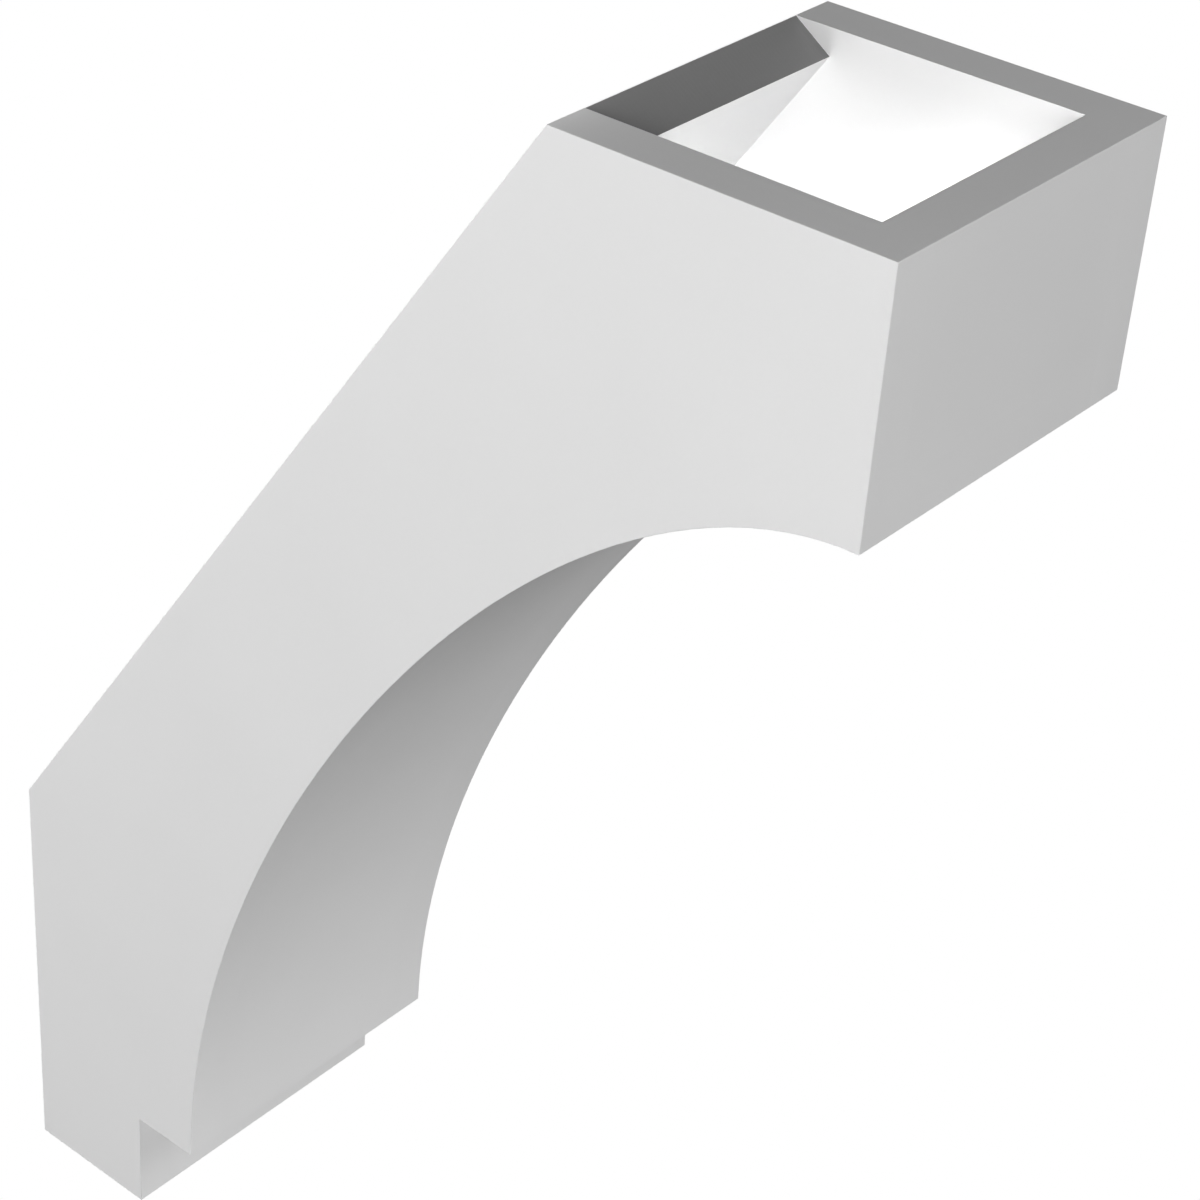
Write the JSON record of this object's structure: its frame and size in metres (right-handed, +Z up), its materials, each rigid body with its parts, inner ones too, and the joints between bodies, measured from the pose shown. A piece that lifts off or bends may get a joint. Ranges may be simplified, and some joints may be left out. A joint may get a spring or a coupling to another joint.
{
  "type": "decorative knee brace",
  "caption": "Hollow white knee brace with a slanted back, a curved soffit and a stepped foot, open at the wall and at the top.",
  "frame": {"origin": "on the wall plane, in the middle of the back edge of the board that closes the foot, 9.525 mm above the foot's underside", "axes": "+X out from the wall, +Y across the brace, +Z up"},
  "size_m": [0.4064, 0.1524, 0.6096],
  "materials": {
    "white_board": "white cellular plastic board, matt and smooth, with the joints filled and sanded flush",
    "bent_board": "the same white board bent to the arch, matt and smooth",
    "sawn_board": "the same white board with a bare sawn end, a little duller and rougher"
  },
  "bodies": {
    "root": {"side_panel_left": "white_board", "side_panel_right": "white_board", "front_board": "white_board", "soffit_board": "bent_board", "diagonal_board": "sawn_board", "foot_board": "white_board", "ledge_board": "white_board", "bottom_board": "white_board"}
  },
  "joints": []
}
